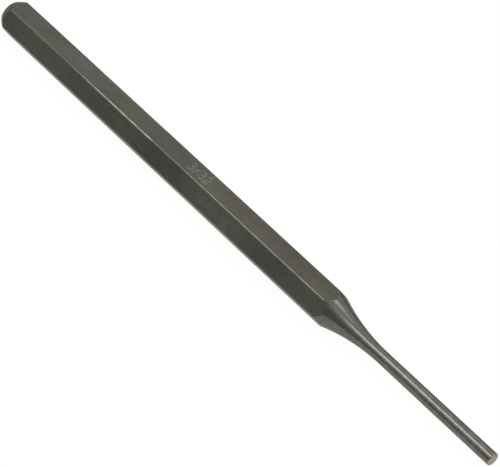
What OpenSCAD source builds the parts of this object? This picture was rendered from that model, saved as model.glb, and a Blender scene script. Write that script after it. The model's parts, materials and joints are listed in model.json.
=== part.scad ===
// Pin punch, turned and ground from one length of hexagonal tool steel bar.
// Millimetres. The punch lies along X on one of its flats, its pin towards +X.
// The origin is under the middle of its length, on the surface it lies on.

/* [Bar] */
// Length from the striking face to the tip
overall_len = 127; // [100:1:180]
// Width of the hexagonal bar across its flats
across_flats = 6.35; // [5:0.05:9]
// Radius of the bar's six long corners
corner_r = 0.25; // [0.1:0.05:0.6]

/* [Pin] */
// Diameter of the pin, 3/32 in
pin_d = 2.38; // [1.5:0.01:4]
// Length of the straight pin, from the neck to the tip
pin_len = 26; // [10:0.5:40]
// Width of the broken edge round the tip
tip_break = 0.12; // [0.05:0.01:0.3]

/* [Neck] */
// Radius of the hollow neck, seen from the side
neck_r = 38; // [20:1:60]

/* [Struck end] */
// Diameter of the flat striking face
face_d = 5.2; // [3:0.1:5.6]
// Angle between the turned chamfer and the punch's axis
chamfer_angle = 30; // [20:1:50]

/* [Hidden] */

// Facets of a full circle where it is drawn
$fn = 180;
// Sides of the bar
sides = 6;
// Radius of the circle through the bar's sharp corners
bar_r = across_flats / 2 / cos(180 / sides);
// Distance from the axis to the centre of each corner's rounding
corner_centre = bar_r - corner_r / cos(180 / sides);
pin_r = pin_d / 2;
face_r = face_d / 2;
chamfer_len = (bar_r - face_r) / tan(chamfer_angle);
// Where the neck ends and the straight pin starts
pin_start = overall_len - pin_len;

// Cross-section of the bar: a hexagon with rounded corners and two level flats
module bar_section() {
    intersection() {
        circle(r = bar_r, $fn = sides);
        union() {
            for (i = [0 : sides - 1])
                rotate(i * 360 / sides)
                    translate([corner_centre, 0])
                        circle(r = corner_r);
            corner_cuts();
        }
    }
}

// The hexagon with its corners cut off where their rounding starts
module corner_cuts() {
    // Half the width of a flat that the rounding leaves
    half_flat = corner_centre * sin(180 / sides);
    polygon([
        for (i = [0 : sides - 1], end = [-1, 1])
            let (turn = (i + 1 / 2) * 360 / sides)
                [
                    across_flats / 2 * cos(turn) - end * half_flat * sin(turn),
                    across_flats / 2 * sin(turn) + end * half_flat * cos(turn)
                ]
    ]);
}

// Half outline of what the lathe leaves, radius along X and length along Y
module turned_outline() {
    // Chamfered bar, hollowed to the neck
    difference() {
        polygon([
            [0, 0],
            [face_r, 0],
            [bar_r, chamfer_len],
            [bar_r, pin_start],
            [0, pin_start]
        ]);
        translate([pin_r + neck_r, pin_start])
            circle(r = neck_r);
    }
    // Straight pin with its broken edge
    polygon([
        [0, pin_start],
        [pin_r, pin_start],
        [pin_r, overall_len - tip_break],
        [pin_r - tip_break, overall_len],
        [0, overall_len]
    ]);
}

// The whole punch, one piece of steel
module punch() {
    color([0.30, 0.30, 0.27])
        translate([-overall_len / 2, 0, across_flats / 2])
            rotate([0, 90, 0])
                intersection() {
                    linear_extrude(overall_len)
                        rotate(180 / sides)
                            bar_section();
                    rotate_extrude()
                        turned_outline();
                }
}

punch();
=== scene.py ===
# Pin punch of black oxide tool steel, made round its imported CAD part.
# The punch lies along X on one of its flats, with its pin towards +X. Sizes are in metres.
import json
import math
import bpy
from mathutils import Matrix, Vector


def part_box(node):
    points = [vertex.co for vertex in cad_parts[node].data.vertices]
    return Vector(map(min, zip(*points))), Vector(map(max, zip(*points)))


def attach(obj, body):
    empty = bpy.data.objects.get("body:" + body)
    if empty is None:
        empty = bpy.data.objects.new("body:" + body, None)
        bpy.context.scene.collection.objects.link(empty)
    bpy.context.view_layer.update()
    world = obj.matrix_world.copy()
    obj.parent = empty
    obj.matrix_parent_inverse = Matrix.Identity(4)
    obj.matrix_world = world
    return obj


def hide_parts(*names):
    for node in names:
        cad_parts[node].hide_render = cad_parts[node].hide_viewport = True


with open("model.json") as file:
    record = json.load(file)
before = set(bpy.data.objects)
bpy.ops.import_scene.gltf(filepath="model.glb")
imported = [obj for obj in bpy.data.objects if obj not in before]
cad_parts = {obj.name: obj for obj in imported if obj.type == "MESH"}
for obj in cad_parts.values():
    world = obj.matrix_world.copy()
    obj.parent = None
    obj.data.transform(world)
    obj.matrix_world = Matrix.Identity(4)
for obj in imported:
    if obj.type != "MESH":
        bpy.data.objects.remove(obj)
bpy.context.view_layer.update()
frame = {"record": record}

from types import SimpleNamespace

import bmesh
import bpy
from mathutils import Matrix, Vector
from mathutils.kdtree import KDTree

bl_info = {
    "name": "Pin Punch",
    "version": (1, 0, 0),
    "blender": (4, 5, 0),
    "location": "View3D > Sidebar > Pin Punch",
    "description": "Makes a one-piece hexagonal pin punch and a small white studio for it",
    "category": "Add Mesh",
}

MM = 0.001
PUNCH_NODE = "punch"
BODY = "root"

TIP_BREAK = 0.12 * MM
# Room for rounding, which keeps the visual model inside the CAD box
ROUNDING = 2e-7
WHITE = (1.0, 1.0, 1.0, 1.0)

punch_low, punch_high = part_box(PUNCH_NODE)
mounts = {mount["name"]: mount for mount in frame["record"]["mounts"]}
pin = mounts["driving_pin"]["dims"]


# Properties

def length_property(name, description, default):
    """A length that a user may change."""
    return bpy.props.FloatProperty(
        name=name, description=description, default=default, min=0.0,
        precision=5, unit="LENGTH", subtype="DISTANCE",
    )


def angle_property(name, description, degrees):
    """An angle that a user may change, given in degrees."""
    return bpy.props.FloatProperty(
        name=name, description=description, default=math.radians(degrees),
        unit="ROTATION", subtype="ANGLE",
    )


def share_property(name, description, default):
    """A number from 0 to 1 that a user may change."""
    return bpy.props.FloatProperty(
        name=name, description=description, default=default, min=0.0, max=1.0, subtype="FACTOR",
    )


def colour_property(name, description, default):
    """A linear colour that a user may change."""
    return bpy.props.FloatVectorProperty(
        name=name, description=description, default=default, size=3, min=0.0, max=1.0,
        subtype="COLOR",
    )


class PinPunchSizes(bpy.types.PropertyGroup):
    """Sizes of the steel"""

    overall_length: length_property(
        "Overall length", "From the striking face to the tip",
        punch_high.x - punch_low.x - ROUNDING)
    across_flats: length_property(
        "Across flats", "Width of the hexagonal bar across its flats", punch_high.z - punch_low.z)
    corner_radius: length_property(
        "Corner radius", "Rounding of the bar's six long corners", 0.25 * MM)
    pin_diameter: length_property(
        "Pin diameter", "Diameter of the straight pin", 2 * pin["r_mm"] * MM)
    pin_length: length_property(
        "Pin length", "Straight pin from the neck to the tip", pin["length_mm"] * MM + TIP_BREAK)
    tip_break: length_property(
        "Tip break", "Width of the broken edge round the tip", TIP_BREAK)
    neck_radius: length_property(
        "Neck radius", "Radius of the hollow neck, seen from the side", 38 * MM)
    face_diameter: length_property(
        "Striking face diameter", "Diameter of the flat that the hammer meets", 5.2 * MM)
    chamfer_angle: angle_property(
        "Chamfer angle", "Between the struck end's chamfer and the axis", 30)
    edge_softness: length_property(
        "Edge softness", "Width of the burnished edge where two cuts meet", 0.07 * MM)
    number: bpy.props.StringProperty(
        name="Stamped size", description="Plain size number stamped on the upper flat",
        default="3/32")
    number_height: length_property(
        "Number height", "Height of the stamped figures", 1.7 * MM)
    number_depth: length_property(
        "Number depth", "Depth of the stamped figures", 0.05 * MM)
    number_place: bpy.props.FloatProperty(
        name="Number place", description="Middle of the stamped number along the punch",
        default=-10 * MM, unit="LENGTH", subtype="DISTANCE")


class PinPunchFinish(bpy.types.PropertyGroup):
    """Colours and gloss of the steel"""

    oxide: colour_property(
        "Black oxide", "Oxide on the drawn flats", (0.110, 0.1085, 0.096))
    temper_brown: colour_property(
        "Temper brown", "Brown patches that the heat treatment leaves", (0.1135, 0.1055, 0.093))
    oxide_green: colour_property(
        "Green grey", "Cooler patches in the oxide", (0.098, 0.105, 0.092))
    # Worn steel is also the colour of the painted highlight on the near upper corner
    worn_steel_and_highlight: colour_property(
        "Worn steel", "Steel that shows where the oxide is rubbed away", (0.40, 0.39, 0.36))
    tip_steel: colour_property(
        "Tip steel", "Straw-tinted steel of the tip face", (0.41, 0.385, 0.34))
    grazing: colour_property(
        "Grazing gloss", "What the oxide leaves of the steel's gloss at a grazing view",
        (0.74, 0.73, 0.64))
    olive_film: colour_property(
        "Olive film", "Yellower film that the oxide bath leaves in small patches",
        (0.113, 0.109, 0.074))
    turned_oxide: colour_property(
        "Turned oxide", "Thinner, greyer oxide on the neck", (0.138, 0.135, 0.123))
    pin_oxide: colour_property(
        "Pin oxide", "Oxide on the pin, a little warmer", (0.142, 0.136, 0.1175))
    # Corner wear is partly real wear and partly a painted highlight on the near upper corner
    corner_wear_and_highlight: share_property(
        "Corner wear", "How far the oxide is rubbed off the long corners", 0.74)
    stamp_wear: share_property(
        "Stamp wear", "How far the oxide is rubbed off in the stamped number", 0.30)
    tip_wear: share_property(
        "Tip wear", "How far the oxide is rubbed off the tip", 0.60)
    flat_roughness: share_property("Flat roughness", "Roughness of the drawn flats", 0.36)
    turned_roughness: share_property(
        "Turned roughness", "Roughness of the neck, the pin and the struck end", 0.26)


class PinPunchStudio(bpy.types.PropertyGroup):
    """Light, floor and camera"""

    view_azimuth: angle_property("View azimuth", "Turn of the camera round the punch", 43.594)
    view_elevation: angle_property("View elevation", "Camera's angle above the floor", 46.109)
    view_roll: angle_property("View roll", "Turn of the camera about its own view", 8.425)
    view_distance: length_property("View distance", "From the aim to the camera", 422.678 * MM)
    view_aim: bpy.props.FloatVectorProperty(
        name="View aim", description="Point that the camera looks at",
        default=(3.699 * MM, 0.059 * MM, 3.230 * MM), unit="LENGTH", subtype="XYZ")
    lens: bpy.props.FloatProperty(
        name="Lens", description="Focal length on a 36 mm sensor", default=179.57,
        unit="CAMERA")
    floor: colour_property("Floor", "White paper that the punch lies on", (0.8, 0.8, 0.8))
    shadow_strength: share_property(
        "Shadow strength", "How much of the white floor's brightness a shadow takes", 0.06)
    surround: bpy.props.FloatProperty(
        name="Surround", description="Brightness of the soft light from all round, 1 is white",
        default=0.8, min=0.0)
    card: colour_property("Card", "Grey green cards round the table", (0.355, 0.394, 0.374))
    card_lift: share_property("Card lift", "How much brighter the cards are at the struck end", 0.3)
    card_foot: share_property("Card foot", "How much darker the cards are at their foot", 0.24)
    near_light: bpy.props.FloatProperty(
        name="Near light", description="Brightness of the softbox over the bar, 1 is white",
        default=4.0, min=0.0)
    far_light: bpy.props.FloatProperty(
        name="Far light", description="Brightness of the softbox over the far side, 1 is white",
        default=4.0, min=0.0)


# Node trees written as arithmetic

class Number:
    """A number in a node tree. Arithmetic on it adds Math nodes to the tree."""

    def __init__(self, tree, socket):
        self.tree = tree
        self.socket = socket

    def math(self, operation, *others, clamp=False):
        """Joins this number and the others with one Math node."""
        node = self.tree.nodes.new("ShaderNodeMath")
        node.operation = operation
        node.use_clamp = clamp
        for socket, value in zip(node.inputs, (self, *others)):
            put(self.tree, value, socket)
        return Number(self.tree, node.outputs["Value"])

    def __add__(self, other):
        return self.math("ADD", other)

    def __radd__(self, other):
        return self.math("ADD", other)

    def __sub__(self, other):
        return self.math("SUBTRACT", other)

    def __rsub__(self, other):
        return self.math("MULTIPLY_ADD", -1.0, other)

    def __mul__(self, other):
        return self.math("MULTIPLY", other)

    def __rmul__(self, other):
        return self.math("MULTIPLY", other)

    def __truediv__(self, other):
        return self.math("DIVIDE", other)

    def share(self, start, steps):
        """0 up to start, 1 from start + steps, and even in between."""
        return ((self - start) / steps).math("ADD", 0.0, clamp=True)

    def ramp(self, low, high):
        """0 below low, 1 above high, smooth in between."""
        node = self.tree.nodes.new("ShaderNodeMapRange")
        node.interpolation_type = "SMOOTHSTEP"
        put(self.tree, self, node.inputs["Value"])
        put(self.tree, low, node.inputs["From Min"])
        put(self.tree, high, node.inputs["From Max"])
        return Number(self.tree, node.outputs["Result"])

    def between(self, low, high):
        """The first value where this number is 0, the second where it is 1, and even in between."""
        return self * (high - low) + low


def put(tree, value, socket):
    """Links a number or a socket, or sets a plain value."""
    if isinstance(value, Number):
        tree.links.new(value.socket, socket)
    elif isinstance(value, bpy.types.NodeSocket):
        tree.links.new(value, socket)
    else:
        socket.default_value = value


def add_node(tree, kind, inputs=None, **settings):
    """Adds a node with its settings and its inputs, and returns it."""
    node = tree.nodes.new(kind)
    for name, value in settings.items():
        setattr(node, name, value)
    for name, value in (inputs or {}).items():
        put(tree, value, node.inputs[name])
    return node


# The steel's form

# Quads round the bar: these many over each rounded corner, then over each flat
CORNER_STEPS = 8
FLAT_STEPS = 20
SECTOR_STEPS = CORNER_STEPS + FLAT_STEPS
SIDES = 6
AROUND = SIDES * SECTOR_STEPS
# Rings of quads along the punch, from the middle of the striking face to the middle of the tip
RINGS = {"face": 8, "chamfer": 8, "bar": 56, "neck": 44, "pin": 28, "edge": 2, "tip": 6}
# How much closer together the bar's rings lie towards its ends, from 0 to 1
BAR_CROWDING = 0.9
# A face that lies on the drawn bar by more than this share is a drawn one
WHOLLY = 0.999
# Points that lie closer together than this are one point
SAME_POINT = 1e-7
# Two cuts that meet at more than this get a burnished edge of this many faces
CUT_ANGLE = math.radians(15)
EDGE_FACES = 3
# An edge that turns by more than this is shaded as a sharp one
SHARP_ANGLE = math.radians(32)
# A mesh with fewer faces than this is broken
LEAST_FACES = 1000

# The form tree's inputs and the sizes that go into them
FORM_INPUTS = {
    "Overall Length": "overall_length",
    "Across Flats": "across_flats",
    "Corner Radius": "corner_radius",
    "Pin Diameter": "pin_diameter",
    "Pin Length": "pin_length",
    "Tip Break": "tip_break",
    "Neck Radius": "neck_radius",
    "Striking Face Diameter": "face_diameter",
    "Chamfer Angle": "chamfer_angle",
}


def rounded_hexagon(size, column):
    """Reach and angle at which a column of points meets the bar, and its way from a long corner."""
    # Over a rounded corner first, then along a flat
    sector = ((column + 0.5) / SECTOR_STEPS).math("FLOOR")
    step = column - sector * SECTOR_STEPS
    sector_angle = 2 * math.pi / SIDES
    half_sector = sector_angle / 2
    turn = step.share(0, CORNER_STEPS) * sector_angle - half_sector
    along_flat = step.share(CORNER_STEPS, FLAT_STEPS)
    corner = size.corner_radius
    corner_centre = (size.across_flats * 0.5 - corner) / math.cos(half_sector)
    out = (
        corner_centre
        + corner * turn.math("COSINE")
        - corner_centre * along_flat * math.sin(half_sector)
    )
    side = corner * turn.math("SINE") + corner_centre * along_flat * math.cos(half_sector)
    reach = (out * out + side * side).math("SQRT")
    angle = side.math("ARCTAN2", out) + sector * sector_angle
    # The way counts half just past a corner and double before the next, so wear and the painted
    # highlight lie more past it
    from_corner = (along_flat * 0.5).math("MINIMUM", (1.0 - along_flat) * 2.0)
    return reach, angle, corner_centre * from_corner


def passed_stretches(ring):
    """The share of each stretch of the punch that a ring has passed."""
    passed = {}
    start = 0
    for stretch, rings in RINGS.items():
        passed[stretch] = ring.share(start, rings)
        start += rings
    return SimpleNamespace(**passed)


def side_profile(size, passed, bar_reach):
    """How far from the striking face a point lies, and how far from the axis."""
    # The bar's rings lie closer together towards its ends
    crowded = (passed.bar * (2 * math.pi)).math("SINE") * (BAR_CROWDING / (2 * math.pi))
    on_bar = passed.bar - crowded
    face_r = size.face_diameter * 0.5
    pin_r = size.pin_diameter * 0.5
    neck = size.neck_radius
    pin_start = size.overall_length - size.pin_length
    chamfer_end = (bar_reach - face_r) / size.chamfer_angle.math("TANGENT")
    drop = neck + pin_r - bar_reach
    neck_start = pin_start - (neck * neck - drop * drop).math("SQRT")
    along = (
        chamfer_end * passed.chamfer
        + (neck_start - chamfer_end) * on_bar
        + (pin_start - neck_start) * passed.neck
        + (size.pin_length - size.tip_break) * passed.pin
        + size.tip_break * passed.edge
    )

    # The struck end, the bar, or the hollow cut that ends in the pin
    bar_side = face_r * passed.face + (bar_reach - face_r) * passed.chamfer
    before_pin = (pin_start - along).math("MAXIMUM", 0.0).math("MINIMUM", neck)
    hollow = neck + pin_r - (neck * neck - before_pin * before_pin).math("SQRT")
    reach = (
        bar_side.math("MINIMUM", hollow)
        - size.tip_break * passed.edge
        - (pin_r - size.tip_break) * passed.tip
    )
    return along, reach


def through(tree, geometry, kind, inputs=None, **settings):
    """Sends geometry through one more node."""
    node = add_node(tree, kind, inputs, **settings)
    tree.links.new(geometry, node.inputs[0])
    return node.outputs[0]


def stored(tree, geometry, name, value, domain):
    """The geometry with a number that its points or faces carry."""
    inputs = {"Name": name, "Value": value}
    return through(
        tree, geometry, "GeometryNodeStoreNamedAttribute", inputs,
        data_type="FLOAT", domain=domain)


def form_tree():
    """Node tree that lays a grid along and round the punch: a hexagonal bar, turned at both ends."""
    tree = bpy.data.node_groups.new("pin_punch_form", "GeometryNodeTree")
    tree.interface.new_socket("Geometry", in_out="OUTPUT", socket_type="NodeSocketGeometry")
    for name in FORM_INPUTS:
        tree.interface.new_socket(name, in_out="INPUT", socket_type="NodeSocketFloat")
    tree.interface.new_socket("Finish", in_out="INPUT", socket_type="NodeSocketMaterial")
    group = tree.nodes.new("NodeGroupInput")
    size = SimpleNamespace(**{
        size_name: Number(tree, group.outputs[name]) for name, size_name in FORM_INPUTS.items()
    })
    grid = add_node(tree, "GeometryNodeMeshGrid", {
        "Vertices X": sum(RINGS.values()) + 1,
        "Vertices Y": AROUND + 1,
    })
    index = Number(tree, tree.nodes.new("GeometryNodeInputIndex").outputs["Index"])
    ring = ((index + 0.5) / (AROUND + 1)).math("FLOOR")
    column = (index + 0.5 - ring * (AROUND + 1)).math("FLOOR")
    bar_reach, bar_angle, from_corner = rounded_hexagon(size, column)
    passed = passed_stretches(ring)
    along, reach = side_profile(size, passed, bar_reach)

    # On turned surfaces the columns slide to an even spacing
    even_angle = column * (2 * math.pi / AROUND)
    on_hexagon = passed.chamfer * (1.0 - passed.neck)
    angle = even_angle + (bar_angle - even_angle) * on_hexagon
    place = add_node(tree, "ShaderNodeCombineXYZ", {
        "X": along - size.overall_length * 0.5,
        "Y": reach * angle.math("COSINE"),
        "Z": reach * angle.math("SINE") + size.across_flats * 0.5,
    })
    geometry = through(tree, grid.outputs["Mesh"], "GeometryNodeSetPosition", {
        "Position": place.outputs["Vector"],
    })

    # What the finish needs to know. A face has another index than its points, so a drawn face
    # is found by its points.
    at_points = add_node(tree, "GeometryNodeFieldOnDomain", {
        "Value": on_hexagon * (1.0 - passed.neck),
    }, data_type="FLOAT", domain="POINT")
    drawn = Number(tree, at_points.outputs["Value"]).math("GREATER_THAN", WHOLLY)
    geometry = stored(tree, geometry, "drawn", drawn, "FACE")
    geometry = stored(tree, geometry, "from_corner", from_corner, "POINT")

    geometry = through(tree, geometry, "GeometryNodeMergeByDistance", {"Distance": SAME_POINT})
    geometry = through(tree, geometry, "GeometryNodeFlipFaces")
    geometry = through(tree, geometry, "GeometryNodeSetShadeSmooth", {"Shade Smooth": True})
    geometry = through(tree, geometry, "GeometryNodeRealizeInstances")
    geometry = through(tree, geometry, "GeometryNodeSetMaterial", {
        "Material": group.outputs["Finish"],
    })
    output = tree.nodes.new("NodeGroupOutput")
    tree.links.new(geometry, output.inputs["Geometry"])
    return tree


def input_name(tree, name):
    """The identifier by which a modifier knows a tree's input."""
    for item in tree.interface.items_tree:
        if item.item_type == "SOCKET" and item.in_out == "INPUT" and item.name == name:
            return item.identifier
    raise KeyError(name)


def make_plain(piece, finish):
    """Turns what a piece's modifiers give into its own mesh, with one finish all over."""
    graph = bpy.context.evaluated_depsgraph_get()
    mesh = bpy.data.meshes.new_from_object(piece.evaluated_get(graph))
    mesh.materials.clear()
    mesh.materials.append(finish)
    mesh.polygons.foreach_set("material_index", [0] * len(mesh.polygons))
    piece.modifiers.clear()
    piece.data = mesh


def show(name, mesh):
    """Makes an object of a mesh and shows it."""
    piece = bpy.data.objects.new(name, mesh)
    bpy.context.scene.collection.objects.link(piece)
    return piece


def make_steel(sizes, finish):
    """The punch's body as the node tree makes it."""
    tree = form_tree()
    piece = show("punch_steel", bpy.data.meshes.new("punch_steel"))
    form = piece.modifiers.new("form", "NODES")
    form.node_group = tree
    for name, size_name in FORM_INPUTS.items():
        form[input_name(tree, name)] = getattr(sizes, size_name)
    form[input_name(tree, "Finish")] = finish
    make_plain(piece, finish)
    return piece


def soften_edges(piece, sizes, finish):
    """Rounds the burnished edges where two cuts meet. The mesh is in millimetres."""
    edges = piece.modifiers.new("edges", "BEVEL")
    edges.limit_method = "ANGLE"
    edges.angle_limit = CUT_ANGLE
    edges.width = sizes.edge_softness / MM
    edges.segments = EDGE_FACES
    make_plain(piece, finish)


def mark_sharp(mesh):
    """Shades every edge that turns far enough as a sharp one."""
    form = bmesh.new()
    form.from_mesh(mesh)
    for face in form.faces:
        face.smooth = True
    for edge in form.edges:
        edge.smooth = len(edge.link_faces) == 2 and edge.calc_face_angle(0.0) < SHARP_ANGLE
    form.to_mesh(mesh)
    form.free()


# The stamp

# Width of a figure, the distance to the next one and that between a stroke's points, in heights
FIGURE_WIDTH = 0.6
FIGURE_STEP = 0.82
STROKE_SPACING = 0.01
# Half the width of a stamped stroke's floor, and the width of its sloping wall, in millimetres
STROKE_FLOOR = 0.04
STROKE_WALL = 0.08
# The fine patch that carries the number: its squares and its margin, in millimetres
PATCH_SPACING = 0.035
PATCH_MARGIN = 0.2
# How far beyond the patch the bar's own faces are taken away, in millimetres
HOLE_ALONG = 1.5
HOLE_ACROSS = 0.05
# A face whose normal rises more than this is level
LEVEL = 0.999
# A distance from the long corners at which nothing is rubbed
FAR_FROM_CORNER = 1 * MM


def arc(x, y, half_x, half_y, start, end, steps=12):
    """Points along part of an ellipse round (x, y), between two angles in degrees."""
    turns = [math.radians(start + (end - start) * k / steps) for k in range(steps + 1)]
    return tuple((x + half_x * math.cos(turn), y + half_y * math.sin(turn)) for turn in turns)


# The strokes of each figure, in a box that is 0.6 wide and 1 high
FIGURES = {
    "0": (arc(0.30, 0.50, 0.28, 0.50, 0, 360, 24),),
    "1": (((0.10, 0.78), (0.32, 1.0), (0.32, 0.0)),),
    "2": (arc(0.30, 0.72, 0.27, 0.28, 165, -35) + ((0.02, 0.0), (0.60, 0.0)),),
    "3": (arc(0.28, 0.76, 0.25, 0.24, 150, -90) + arc(0.28, 0.26, 0.30, 0.26, 90, -150),),
    "4": (((0.46, 0.0), (0.46, 1.0), (0.0, 0.30), (0.60, 0.30)),),
    "5": (((0.54, 1.0), (0.10, 1.0), (0.06, 0.55)) + arc(0.28, 0.32, 0.30, 0.32, 125, -150),),
    "6": (arc(0.30, 0.30, 0.28, 0.30, 0, 360, 24), arc(0.62, 0.30, 0.60, 0.70, 180, 105)),
    "7": (((0.02, 1.0), (0.58, 1.0), (0.20, 0.0)),),
    "8": (arc(0.30, 0.76, 0.24, 0.24, 0, 360, 24), arc(0.30, 0.26, 0.29, 0.26, 0, 360, 24)),
    "9": (arc(0.30, 0.70, 0.28, 0.30, 0, 360, 24), arc(-0.02, 0.70, 0.60, 0.70, 0, -75)),
    "/": (((0.06, 0.0), (0.52, 1.0)),),
}


def stroke_points(number, height):
    """Points that lie close together on the strokes of a number, round its middle."""
    width = (len(number) - 1) * FIGURE_STEP + FIGURE_WIDTH
    points = []
    for place, figure in enumerate(number):
        if figure not in FIGURES:
            raise RuntimeError("the stamped size may hold only figures and a slash")
        left = place * FIGURE_STEP - width / 2
        for stroke in FIGURES[figure]:
            for start, end in zip(stroke, stroke[1:]):
                line = Vector(end) - Vector(start)
                steps = max(1, int(line.length / STROKE_SPACING))
                for k in range(steps + 1):
                    point = Vector(start).lerp(Vector(end), k / steps)
                    points.append(((point.x + left) * height, (point.y - 0.5) * height))
    return points


def point_tree(points):
    """A tree that finds the nearest of many points on a plane."""
    tree = KDTree(len(points))
    for k, (x, y) in enumerate(points):
        tree.insert((x, y, 0.0), k)
    tree.balance()
    return tree


def cut_hole(form, middle, half_x, half_y):
    """Takes the upper flat's faces away under the patch and a little beyond. Returns the rim."""
    covered = [
        face for face in form.faces
        if face.normal.z > LEVEL
        and min(abs(vertex.co.x - middle) for vertex in face.verts) < half_x + HOLE_ALONG
        and min(abs(vertex.co.y) for vertex in face.verts) < half_y + HOLE_ACROSS
    ]
    bmesh.ops.delete(form, geom=covered, context="FACES")
    return [edge for edge in form.edges if edge.is_boundary]


def press(strokes, x, y):
    """How far the stamp is pressed in at a place: 1 on a stroke, 0 off it."""
    away = strokes.find((x, y, 0.0))[2]
    rise = min(1.0, max(0.0, (away - STROKE_FLOOR) / STROKE_WALL))
    return 1.0 - rise * rise * (3.0 - 2.0 * rise)


def pressed_patch(form, strokes, sizes, half_x, half_y):
    """A fine level grid, lowered along the strokes. Returns its faces."""
    depth = sizes.number_depth / MM
    top = sizes.across_flats / MM
    middle = sizes.number_place / MM
    from_corner = form.verts.layers.float["from_corner"]
    stamped = form.verts.layers.float.new("stamped")
    columns = math.ceil(2 * half_x / PATCH_SPACING)
    rows = math.ceil(2 * half_y / PATCH_SPACING)
    grid = []
    for row in range(rows + 1):
        grid.append([])
        for column in range(columns + 1):
            x = (2 * column / columns - 1) * half_x
            y = (2 * row / rows - 1) * half_y
            pressed = press(strokes, x, y)
            vertex = form.verts.new((x + middle, y, top - depth * pressed))
            vertex[from_corner] = FAR_FROM_CORNER
            vertex[stamped] = pressed
            grid[row].append(vertex)
    return [
        form.faces.new((below[k], below[k + 1], above[k + 1], above[k]))
        for below, above in zip(grid, grid[1:]) for k in range(columns)
    ]


def stamp_number(mesh, sizes):
    """Presses the number into a fine patch of the upper flat. The mesh is in millimetres."""
    height = sizes.number_height / MM
    points = stroke_points(sizes.number, height)
    half_x = max(x for x, y in points) + PATCH_MARGIN
    half_y = height / 2 + PATCH_MARGIN
    form = bmesh.new()
    form.from_mesh(mesh)
    rim = cut_hole(form, sizes.number_place / MM, half_x, half_y)
    made = pressed_patch(form, point_tree(points), sizes, half_x, half_y)

    # Faces that join the patch to the rim of the hole
    patch_rim = {edge for face in made for edge in face.edges if edge.is_boundary}
    seam = bmesh.ops.triangle_fill(
        form, edges=rim + list(patch_rim), normal=(0.0, 0.0, 1.0), use_beauty=True)
    made += [item for item in seam["geom"] if isinstance(item, bmesh.types.BMFace)]
    drawn = form.faces.layers.float["drawn"]
    for face in made:
        face[drawn] = 1.0
    form.to_mesh(mesh)
    form.free()


# The steel's finish

# Noise in and on the oxide: waves per millimetre along and across the punch, where the pattern
# starts, how many finer waves it has and how strong they are
PATTERNS = {
    "draw_lines": (0.06, 5.0, (0.0, 0.0, 0.0), 4.0, 0.6),
    "patches": (0.10, 0.32, (3.1, 0.4, 1.7), 4.0, 0.55),
    "cool": (0.07, 0.25, (8.2, 5.1, 2.3), 3.0, 0.5),
    "film": (0.32, 0.5, (2.6, 8.8, 0.9), 3.0, 0.6),
    "cloud": (0.07, 0.16, (5.7, 2.2, 9.4), 3.0, 0.6),
    "blotches": (0.45, 0.45, (6.3, 1.9, 7.4), 2.0, 0.6),
    "mottle": (1.1, 1.1, (0.0, 0.0, 0.0), 2.0, 0.5),
    "grain": (3.4, 3.4, (0.0, 0.0, 0.0), 3.0, 0.6),
    "rubbing_and_highlight": (0.35, 1.2, (1.0, 7.0, 4.0), 5.0, 0.65),
}
# Tool marks: waves per millimetre along the cut and round it, how many finer waves they have and
# how strong those are
TOOL_MARKS = (3.2, 0.12, 3.0, 0.65)
# How far each pattern swings the lightness and the roughness, all over and where it was turned
LIGHTNESS = {"cloud": 0.66, "mottle": 0.34, "grain": 0.48, "marks": 0.20}
TURNED_LIGHTNESS = {"grain": 0.65, "mottle": 0.30, "blotches": 0.30}
ROUGHNESS = {"grain": 0.10, "marks": 0.08}
TURNED_ROUGHNESS = {"mottle": 0.10, "blotches": 0.14}
MEAN_LIGHTNESS = 1.01
# How much smoother the steel is where it is rubbed bare
RUBBED_SMOOTHER = 0.06
# Height of the relief, and the share of it that draw lines, grain and tool marks take. The tool
# marks' share goes from the first value on the neck to the second on the pin.
RELIEF_HEIGHT = 0.006 * MM
DRAW_LINE_RELIEF = 0.7
GRAIN_RELIEF = 0.6
TOOL_MARK_RELIEF = (0.7, 1.1)
# Where a pattern shows: its value where it starts to show and where it shows fully
COOL_SHOWS = (0.35, 0.6)
PATCHES_SHOW = (0.36, 0.62)
FILM_SHOWS = (0.42, 0.62)
RUBBING_AND_HIGHLIGHT_SHOWS = (0.3, 0.6)

# Changes along the punch, in millimetres from its middle: where each starts and is complete
TEMPER_GROWS = (-50.0, 10.0)
BEYOND_MIDDLE = (0.0, 1.0)
PIN_TINT_GROWS = (26.0, 36.0)
MOTTLING_GROWS = (25.0, 35.0)
# The same in millimetres over the axis
UPPER_FLAT_STARTS = (2.9, 3.1)
# The same in millimetres out from the axis, towards the long corner over the near flat, which
# carries the painted highlight. The direction's parts along Y and Z come first.
TOWARDS_UPPER_CORNER = (-0.6, 0.8)
UPPER_CORNER_STARTS = (2.4, 3.4)
# The same in millimetres from a long corner, and in millimetres before the tip
CORNER_WEAR_AND_HIGHLIGHT_FADES = (0.0, 0.10)
TIP_WEAR_GROWS = (0.20, 0.10)
# Stretches of the flats that are darker, or lighter where the share is below 0: where each
# starts, is complete, starts to fade and ends, and its share
DARKER_STRETCHES = (
    (-29.0, -19.0, -15.0, -9.0, 0.20),
    (-12.0, -6.0, -1.0, 5.0, -0.14),
    (1.0, 9.0, 12.0, 21.0, 0.19),
)
# How far the long corners are rubbed and carry a painted highlight at the struck end, and each
# change of it along the punch
CORNER_WEAR_AND_HIGHLIGHT_AT_HEAD = 0.14
CORNER_WEAR_AND_HIGHLIGHT_CHANGES = (
    (-46.0, -33.0, 0.86),
    (-31.0, -24.0, 0.24),
    (-21.9, -20.4, -1.06),
    (-18.0, 6.0, 0.24),
    (8.0, 14.0, -0.14),
    (16.0, 20.0, 0.10),
)


def noise(tree, vector, detail, roughness):
    """A noise pattern as a number."""
    node = add_node(tree, "ShaderNodeTexNoise", {
        "Vector": vector,
        "Scale": 1.0,
        "Detail": detail,
        "Roughness": roughness,
    })
    return Number(tree, node.outputs["Fac"])


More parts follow.
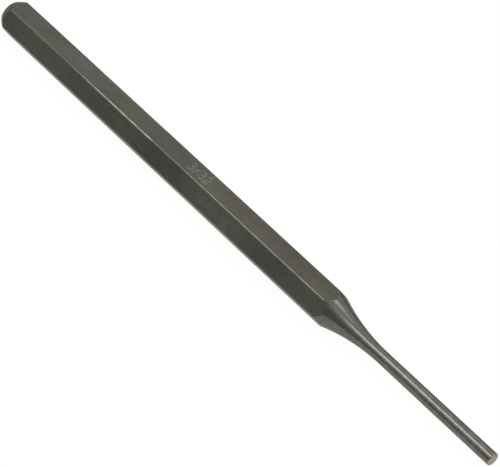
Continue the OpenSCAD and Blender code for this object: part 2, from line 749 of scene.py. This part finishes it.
def stretched(tree, vector, scale, offset):
    """A vector, scaled along each axis and then moved by an offset."""
    node = add_node(tree, "ShaderNodeMapping", {
        "Vector": vector,
        "Location": offset,
        "Scale": scale,
    })
    return node.outputs["Vector"]


def swing(patterns, shares):
    """The patterns about their middle of 0.5, each times its share, in one sum."""
    total = 0.0
    for name, share in shares.items():
        total = total + (patterns[name] - 0.5) * share
    return total


def mixed_colour(tree, factor, first, second):
    """The first colour at factor 0 and the second at 1."""
    node = tree.nodes.new("ShaderNodeMix")
    node.data_type = "RGBA"
    put(tree, factor, node.inputs["Factor"])
    for socket, value in ((node.inputs["A"], first), (node.inputs["B"], second)):
        put(tree, value if isinstance(value, bpy.types.NodeSocket) else (*value, 1.0), socket)
    return node.outputs["Result"]


def lightened(tree, colour, factor):
    """The colour times a number."""
    node = tree.nodes.new("ShaderNodeVectorMath")
    node.operation = "SCALE"
    put(tree, colour, node.inputs["Vector"])
    put(tree, factor, node.inputs["Scale"])
    return node.outputs["Vector"]


def named_number(tree, name):
    """A number that the mesh carries."""
    node = tree.nodes.new("ShaderNodeAttribute")
    node.attribute_name = name
    return Number(tree, node.outputs["Fac"])


def places(tree, sizes):
    """Where a point of the steel lies, in millimetres from the axis, and what it belongs to."""
    coordinate = tree.nodes.new("ShaderNodeTexCoord").outputs["Object"]
    axis_height = sizes.across_flats / 2 / MM
    from_axis = stretched(tree, coordinate, (1 / MM, 1 / MM, 1 / MM), (0.0, 0.0, -axis_height))
    parts = add_node(tree, "ShaderNodeSeparateXYZ", {"Vector": from_axis})
    x, y, z = (Number(tree, parts.outputs[name]) for name in "XYZ")
    drawn = named_number(tree, "drawn")
    turned = 1.0 - drawn
    return SimpleNamespace(
        from_axis=from_axis, x=x, y=y, z=z, drawn=drawn, turned=turned,
        on_top=z.ramp(*UPPER_FLAT_STARTS) * drawn,
        on_pin=x.ramp(*PIN_TINT_GROWS),
        tempered=x.ramp(*TEMPER_GROWS),
        mottled=turned * x.ramp(*MOTTLING_GROWS).between(0.1, 1.0),
    )


def steel_patterns(tree, place):
    """Noise in the oxide, draw lines along the flats and tool marks round whatever was turned."""
    patterns = {}
    for name, (along, across, offset, detail, roughness) in PATTERNS.items():
        vector = stretched(tree, place.from_axis, (along, across, across), offset)
        patterns[name] = noise(tree, vector, detail, roughness)
    along, around, detail, roughness = TOOL_MARKS
    radius = (place.y * place.y + place.z * place.z).math("SQRT")
    feed = add_node(tree, "ShaderNodeCombineXYZ", {
        "X": (place.x + radius) * along,
        "Y": place.y * around,
        "Z": place.z * around,
    })
    patterns["tool_marks"] = noise(tree, feed.outputs["Vector"], detail, roughness)
    patterns["marks"] = (
        patterns["draw_lines"] * place.drawn + patterns["tool_marks"] * place.turned
    )
    return patterns


def oxide_tint(tree, finish, place, patterns):
    """The oxide's tint: green grey that browns towards the neck, thinner on neck and pin."""
    cool = patterns["cool"].ramp(*COOL_SHOWS) * place.tempered.between(1.0, 0.3)
    colour = mixed_colour(tree, cool, finish.oxide, finish.oxide_green)
    browned = place.tempered.between(0.15, 1.0) * place.on_top.between(0.35, 1.0)
    patches = patterns["patches"].ramp(*PATCHES_SHOW) * browned
    colour = mixed_colour(tree, patches, colour, finish.temper_brown)
    film = patterns["film"].ramp(*FILM_SHOWS) * place.tempered.between(0.42, 0.78)
    colour = mixed_colour(tree, film, colour, finish.olive_film)
    turned_colour = mixed_colour(tree, place.on_pin, finish.turned_oxide, finish.pin_oxide)
    thinned = place.turned * place.x.ramp(*BEYOND_MIDDLE)
    return mixed_colour(tree, thinned, colour, turned_colour)


def shaded_oxide(tree, colour, place, patterns):
    """The oxide's colour with its lighter and darker places."""
    colour = lightened(tree, colour, MEAN_LIGHTNESS + swing(patterns, LIGHTNESS))
    speckle = swing(patterns, TURNED_LIGHTNESS)
    colour = lightened(tree, colour, 1.0 + speckle * place.mottled)
    # Darker and lighter stretches along the flats, strongest on the upper flat
    stretch_darkening = 0.0
    for start, complete, fading, end, share in DARKER_STRETCHES:
        inside = place.x.ramp(start, complete) - place.x.ramp(fading, end)
        stretch_darkening = stretch_darkening + inside * share
    return lightened(tree, colour, 1.0 - stretch_darkening * place.on_top.between(1.0, 0.4) * place.drawn)


def corner_wear_and_highlight(tree, place, patterns):
    """How far the long corners are rubbed and carry a painted highlight: most on the near upper one,
    in patches along it.
    """
    along = CORNER_WEAR_AND_HIGHLIGHT_AT_HEAD
    for start, end, change in CORNER_WEAR_AND_HIGHLIGHT_CHANGES:
        along = along + place.x.ramp(start, end) * change
    # The near upper corner gets the most, as the painted highlight of the near softbox lies on it
    toward_y, toward_z = TOWARDS_UPPER_CORNER
    outward = place.z * toward_z + place.y * toward_y
    upper = outward.ramp(*UPPER_CORNER_STARTS).between(0.25, 1.0)
    # The rubbing pattern breaks both the wear and the painted highlight into patches
    rubbed = patterns["rubbing_and_highlight"].ramp(*RUBBING_AND_HIGHLIGHT_SHOWS).between(0.4, 1.0)
    from_corner = named_number(tree, "from_corner") / MM
    close = 1.0 - from_corner.ramp(*CORNER_WEAR_AND_HIGHLIGHT_FADES)
    return close * place.drawn * along * upper * rubbed


def tip_wear(sizes, place, patterns):
    """How far the oxide is rubbed off the tip."""
    tip = sizes.overall_length / 2 / MM
    start, end = (tip - before for before in TIP_WEAR_GROWS)
    return place.x.ramp(start, end) * patterns["mottle"].between(0.35, 1.65)


def oxide_steel(sizes, finish):
    """Black oxide on drawn and turned tool steel, rubbed on the corners, the stamp and the tip, with
    a painted highlight on the near upper corner.
    """
    material = bpy.data.materials.new("black_oxide_steel")
    material.use_nodes = True
    tree = material.node_tree
    place = places(tree, sizes)
    patterns = steel_patterns(tree, place)

    colour = oxide_tint(tree, finish, place, patterns)
    colour = shaded_oxide(tree, colour, place, patterns)
    # The corners' worn steel is partly real wear and partly a painted highlight
    worn_and_highlit_corners = corner_wear_and_highlight(tree, place, patterns)
    colour = mixed_colour(tree, worn_and_highlit_corners * finish.corner_wear_and_highlight, colour, finish.worn_steel_and_highlight)
    on_tip = tip_wear(sizes, place, patterns)
    colour = mixed_colour(tree, on_tip * finish.tip_wear, colour, finish.tip_steel)
    stamped = named_number(tree, "stamped") * finish.stamp_wear
    colour = mixed_colour(tree, stamped, colour, finish.worn_steel_and_highlight)

    dull = finish.flat_roughness * place.drawn + finish.turned_roughness * place.turned
    dull = dull + swing(patterns, ROUGHNESS) - worn_and_highlit_corners * RUBBED_SMOOTHER
    dull = dull + swing(patterns, TURNED_ROUGHNESS) * place.mottled
    relief = (
        patterns["draw_lines"] * place.drawn * DRAW_LINE_RELIEF
        + patterns["tool_marks"] * place.turned * place.on_pin.between(*TOOL_MARK_RELIEF)
        + patterns["grain"] * GRAIN_RELIEF
    )
    bump = add_node(tree, "ShaderNodeBump", {
        "Height": relief,
        "Distance": RELIEF_HEIGHT,
        "Strength": 1.0,
    })
    values = {
        "Base Color": colour,
        "Metallic": 1.0,
        "Specular Tint": (*finish.grazing, 1.0),
        "Roughness": dull,
        "Normal": bump.outputs["Normal"],
    }
    for name, value in values.items():
        put(tree, value, tree.nodes["Principled BSDF"].inputs[name])
    return material


# Floor, light and camera

# Half the floor's width, and its height, just under the punch, in metres
FLOOR_REACH = 3.0
FLOOR_LEVEL = -0.01 * MM
# How bright the floor looks, a little over 1, so that it is white wherever no shadow falls
FLOOR_BRIGHTNESS = 1.02

# The ring of card: its radius and height in metres, how much lower it is at the far side, how
# much higher round the camera and how narrow that rise is
CARD_REACH = 0.5
CARD_HEIGHT = 0.26
CARD_SLOPE = 0.10
CARD_RISE = 1.1
CARD_RISE_POWER = 6
CARD_STEPS = 72
# Where the cards get lighter along X and darker towards the floor, in metres
CARD_LIFT_GROWS = (0.10, -0.25)
CARD_FOOT_GROWS = (0.16, 0.02)

# Softboxes: direction from the punch, direction of their length, length and width in metres
NEAR_SOFTBOX = ((-0.30, -0.25, 0.90), (1.0, -0.25, 0.0), 0.40, 0.15)
FAR_SOFTBOX = ((0.25, 0.37, 0.89), (1.0, 0.0, 0.0), 0.24, 0.11)
SOFTBOX_DISTANCE = 0.6


def bare_material(name):
    """A material with only an output node. Returns it, its tree and its surface socket."""
    material = bpy.data.materials.new(name)
    material.use_nodes = True
    tree = material.node_tree
    tree.nodes.clear()
    return material, tree, tree.nodes.new("ShaderNodeOutputMaterial").inputs["Surface"]


def mixed_shader(tree, factor, first, second):
    """The first shader at factor 0 and the second at 1."""
    node = tree.nodes.new("ShaderNodeMixShader")
    for socket, value in zip(node.inputs, (factor, first, second)):
        put(tree, value, socket)
    return node.outputs["Shader"]


def seen_directly(tree):
    """1 for rays from the camera, a reflection or a clear piece, and 0 for the rest."""
    path = tree.nodes.new("ShaderNodeLightPath")
    camera, glossy, clear = (
        Number(tree, path.outputs[name])
        for name in ("Is Camera Ray", "Is Glossy Ray", "Is Transmission Ray")
    )
    return (camera + glossy).math("ADD", clear, clamp=True)


def floor_white(studio):
    """White paper: plain to the light, white with a faint shadow to the camera and in the steel."""
    material, tree, surface = bare_material("studio_floor")
    shadow = studio.shadow_strength
    plain = add_node(tree, "ShaderNodeBsdfDiffuse", {"Color": (*studio.floor, 1.0)})
    shadowed = add_node(tree, "ShaderNodeBsdfDiffuse", {"Color": (shadow, shadow, shadow, 1.0)})
    glow = add_node(tree, "ShaderNodeEmission", {
        "Color": WHITE,
        "Strength": FLOOR_BRIGHTNESS - shadow,
    })
    seen = add_node(tree, "ShaderNodeAddShader")
    tree.links.new(shadowed.outputs["BSDF"], seen.inputs[0])
    tree.links.new(glow.outputs["Emission"], seen.inputs[1])
    mix = mixed_shader(tree, seen_directly(tree), plain.outputs["BSDF"], seen.outputs["Shader"])
    put(tree, mix, surface)
    return material


def make_floor(studio):
    """A wide white floor just under the punch."""
    mesh = bpy.data.meshes.new("studio_floor")
    corners = [
        (x * FLOOR_REACH, y * FLOOR_REACH, FLOOR_LEVEL)
        for x, y in ((-1, -1), (1, -1), (1, 1), (-1, 1))
    ]
    mesh.from_pydata(corners, [], [(0, 1, 2, 3)])
    mesh.materials.append(floor_white(studio))
    floor = show("studio_floor", mesh)


def card_paper(studio):
    """Glowing grey green card, lighter towards the struck end and darker at its foot."""
    material, tree, surface = bare_material("studio_card")
    place = add_node(tree, "ShaderNodeSeparateXYZ", {
        "Vector": tree.nodes.new("ShaderNodeTexCoord").outputs["Object"],
    })
    lighter = Number(tree, place.outputs["X"]).ramp(*CARD_LIFT_GROWS)
    foot = Number(tree, place.outputs["Z"]).ramp(*CARD_FOOT_GROWS)
    glow = add_node(tree, "ShaderNodeEmission", {
        "Color": (*studio.card, 1.0),
        "Strength": (1.0 + lighter * studio.card_lift) * (1.0 - foot * studio.card_foot),
    })
    put(tree, glow.outputs["Emission"], surface)
    return material


def make_cards(studio):
    """A ring of card round the table, which the steel sees and the camera doesn't."""
    points = []
    faces = []
    for k in range(CARD_STEPS):
        turn = 2 * math.pi * k / CARD_STEPS
        towards_camera = max(0.0, math.sin(studio.view_azimuth - turn))
        height = (
            CARD_HEIGHT - CARD_SLOPE * math.sin(turn) + CARD_RISE * towards_camera ** CARD_RISE_POWER
        )
        for level in (0.0, height):
            points.append((CARD_REACH * math.cos(turn), CARD_REACH * math.sin(turn), level))
        first = 2 * k
        second = 2 * ((k + 1) % CARD_STEPS)
        faces.append((first, first + 1, second + 1, second))
    mesh = bpy.data.meshes.new("studio_cards")
    mesh.from_pydata(points, [], faces)
    mesh.materials.append(card_paper(studio))
    cards = show("studio_cards", mesh)
    cards.visible_camera = False


def make_world(studio):
    """Soft light from all round, and white behind everything."""
    world = bpy.data.worlds.new("studio_surround")
    world.use_nodes = True
    tree = world.node_tree
    tree.nodes.clear()
    output = tree.nodes.new("ShaderNodeOutputWorld")
    soft, white = (
        add_node(tree, "ShaderNodeBackground", {"Color": WHITE, "Strength": strength})
        for strength in (studio.surround, 1.0)
    )
    mix = mixed_shader(
        tree, seen_directly(tree), soft.outputs["Background"], white.outputs["Background"])
    put(tree, mix, output.inputs["Surface"])
    bpy.context.scene.world = world


def make_softbox(name, softbox, brightness):
    """A softbox that faces the punch. At brightness 1 it looks as bright as the white surround."""
    toward, along, length, width = softbox
    lamp = bpy.data.lights.new(name, "AREA")
    lamp.shape = "RECTANGLE"
    lamp.size = length
    lamp.size_y = width
    lamp.energy = math.pi * length * width * brightness
    light = bpy.data.objects.new(name, lamp)
    back = Vector(toward).normalized()
    side = back.cross(Vector(along)).normalized()
    turn = Matrix((side.cross(back), side, back)).transposed().to_4x4()
    light.matrix_world = Matrix.Translation(back * SOFTBOX_DISTANCE) @ turn
    bpy.context.scene.collection.objects.link(light)


def make_camera(studio):
    """The photograph's camera."""
    data = bpy.data.cameras.new("studio_camera")
    data.sensor_width = 36.0
    data.lens = studio.lens
    data.clip_start = 0.01
    data.clip_end = 20.0
    camera = bpy.data.objects.new("studio_camera", data)
    azimuth, elevation = studio.view_azimuth, studio.view_elevation
    back = Vector((
        math.sin(azimuth) * math.cos(elevation),
        -math.cos(azimuth) * math.cos(elevation),
        math.sin(elevation),
    ))
    turn = (
        Matrix.Rotation(azimuth, 4, "Z")
        @ Matrix.Rotation(math.pi / 2 - elevation, 4, "X")
        @ Matrix.Rotation(studio.view_roll, 4, "Z")
    )
    place = Matrix.Translation(Vector(studio.view_aim) + back * studio.view_distance)
    camera.matrix_world = place @ turn
    bpy.context.scene.collection.objects.link(camera)
    bpy.context.scene.camera = camera


# Operators and panel

class PINPUNCH_OT_make_steel(bpy.types.Operator):
    """Make the punch from one piece of steel"""

    bl_idname = "pin_punch.make_steel"
    bl_label = "Make Punch"

    def execute(self, context):
        sizes = context.scene.pin_punch_sizes
        finish = oxide_steel(sizes, context.scene.pin_punch_finish)
        piece = make_steel(sizes, finish)
        piece.data.transform(Matrix.Scale(1 / MM, 4))
        soften_edges(piece, sizes, finish)
        stamp_number(piece.data, sizes)
        piece.data.transform(Matrix.Scale(MM, 4))
        mark_sharp(piece.data)
        if len(piece.data.polygons) < LEAST_FACES:
            raise RuntimeError("the punch's mesh is empty or broken")
        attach(piece, BODY)
        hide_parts(PUNCH_NODE)
        return {"FINISHED"}


class PINPUNCH_OT_make_studio(bpy.types.Operator):
    """Make the white floor, the soft light and the camera"""

    bl_idname = "pin_punch.make_studio"
    bl_label = "Make Studio"

    def execute(self, context):
        studio = context.scene.pin_punch_studio
        make_floor(studio)
        make_cards(studio)
        make_world(studio)
        make_softbox("near_softbox", NEAR_SOFTBOX, studio.near_light)
        make_softbox("far_softbox", FAR_SOFTBOX, studio.far_light)
        make_camera(studio)
        context.scene.view_settings.view_transform = "Standard"
        return {"FINISHED"}


class PINPUNCH_PT_panel(bpy.types.Panel):
    """Sizes, finish and studio of the pin punch"""

    bl_idname = "PINPUNCH_PT_panel"
    bl_label = "Pin Punch"
    bl_space_type = "VIEW_3D"
    bl_region_type = "UI"
    bl_category = "Pin Punch"

    def draw(self, context):
        groups = (
            (context.scene.pin_punch_sizes, PINPUNCH_OT_make_steel.bl_idname),
            (context.scene.pin_punch_finish, None),
            (context.scene.pin_punch_studio, PINPUNCH_OT_make_studio.bl_idname),
        )
        for group, operator in groups:
            box = self.layout.box()
            for name in type(group).__annotations__:
                box.prop(group, name)
            if operator:
                box.operator(operator)


CLASSES = (
    PinPunchSizes,
    PinPunchFinish,
    PinPunchStudio,
    PINPUNCH_OT_make_steel,
    PINPUNCH_OT_make_studio,
    PINPUNCH_PT_panel,
)


def register():
    """Registers the classes and hangs the settings on the scene."""
    for item in CLASSES:
        bpy.utils.register_class(item)
    bpy.types.Scene.pin_punch_sizes = bpy.props.PointerProperty(type=PinPunchSizes)
    bpy.types.Scene.pin_punch_finish = bpy.props.PointerProperty(type=PinPunchFinish)
    bpy.types.Scene.pin_punch_studio = bpy.props.PointerProperty(type=PinPunchStudio)


def unregister():
    """Takes the settings and the classes away again."""
    del bpy.types.Scene.pin_punch_studio
    del bpy.types.Scene.pin_punch_finish
    del bpy.types.Scene.pin_punch_sizes
    for item in reversed(CLASSES):
        bpy.utils.unregister_class(item)


def main():
    """Makes the punch and its studio."""
    register()
    bpy.ops.pin_punch.make_steel()
    bpy.ops.pin_punch.make_studio()


if __name__ == "__main__":
    main()
